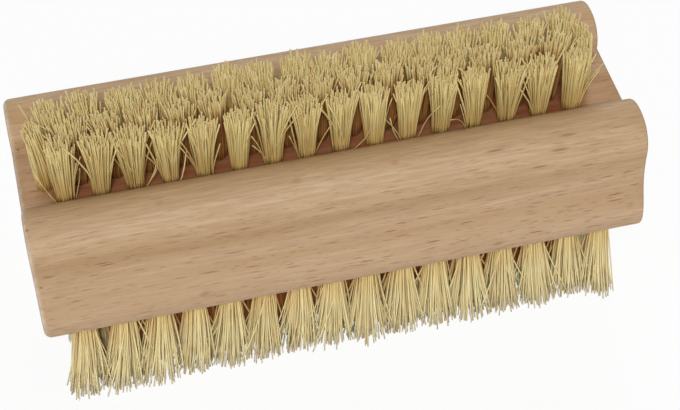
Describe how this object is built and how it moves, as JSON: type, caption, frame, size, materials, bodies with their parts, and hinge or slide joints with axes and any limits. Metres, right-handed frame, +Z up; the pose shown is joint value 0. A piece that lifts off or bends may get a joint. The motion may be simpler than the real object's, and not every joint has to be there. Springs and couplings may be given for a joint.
{
  "type": "nail brush",
  "caption": "Double-sided wooden nail brush: a milled block with short fibre tufts in a channel on top and longer tufts on its wider underside.",
  "frame": {"origin": "on the surface the brush stands on, below the centre of the block", "axes": "+X along the block, +Y across it towards the back, +Z up from the lower tufts to the upper tufts"},
  "size_m": [0.095, 0.0384, 0.0464],
  "materials": {
    "beech": "bare sanded beech, unvarnished",
    "fibre": "dry natural plant fibre, slightly glossy",
    "steel_wire": "drawn flat wire"
  },
  "bodies": {
    "root": {"wood_block": "beech", "upper_tufts": "fibre", "lower_tufts": "fibre", "upper_anchor_01": "steel_wire", "upper_anchor_02": "steel_wire", "upper_anchor_03": "steel_wire", "upper_anchor_04": "steel_wire", "upper_anchor_05": "steel_wire", "upper_anchor_06": "steel_wire", "upper_anchor_07": "steel_wire", "upper_anchor_08": "steel_wire", "upper_anchor_09": "steel_wire", "upper_anchor_10": "steel_wire", "upper_anchor_11": "steel_wire", "upper_anchor_12": "steel_wire", "upper_anchor_13": "steel_wire", "upper_anchor_14": "steel_wire", "upper_anchor_15": "steel_wire", "upper_anchor_16": "steel_wire", "lower_anchor_01": "steel_wire", "lower_anchor_02": "steel_wire", "lower_anchor_03": "steel_wire", "lower_anchor_04": "steel_wire", "lower_anchor_05": "steel_wire", "lower_anchor_06": "steel_wire", "lower_anchor_07": "steel_wire", "lower_anchor_08": "steel_wire", "lower_anchor_09": "steel_wire", "lower_anchor_10": "steel_wire", "lower_anchor_11": "steel_wire", "lower_anchor_12": "steel_wire", "lower_anchor_13": "steel_wire", "lower_anchor_14": "steel_wire", "lower_anchor_15": "steel_wire", "lower_anchor_16": "steel_wire"}
  },
  "joints": []
}
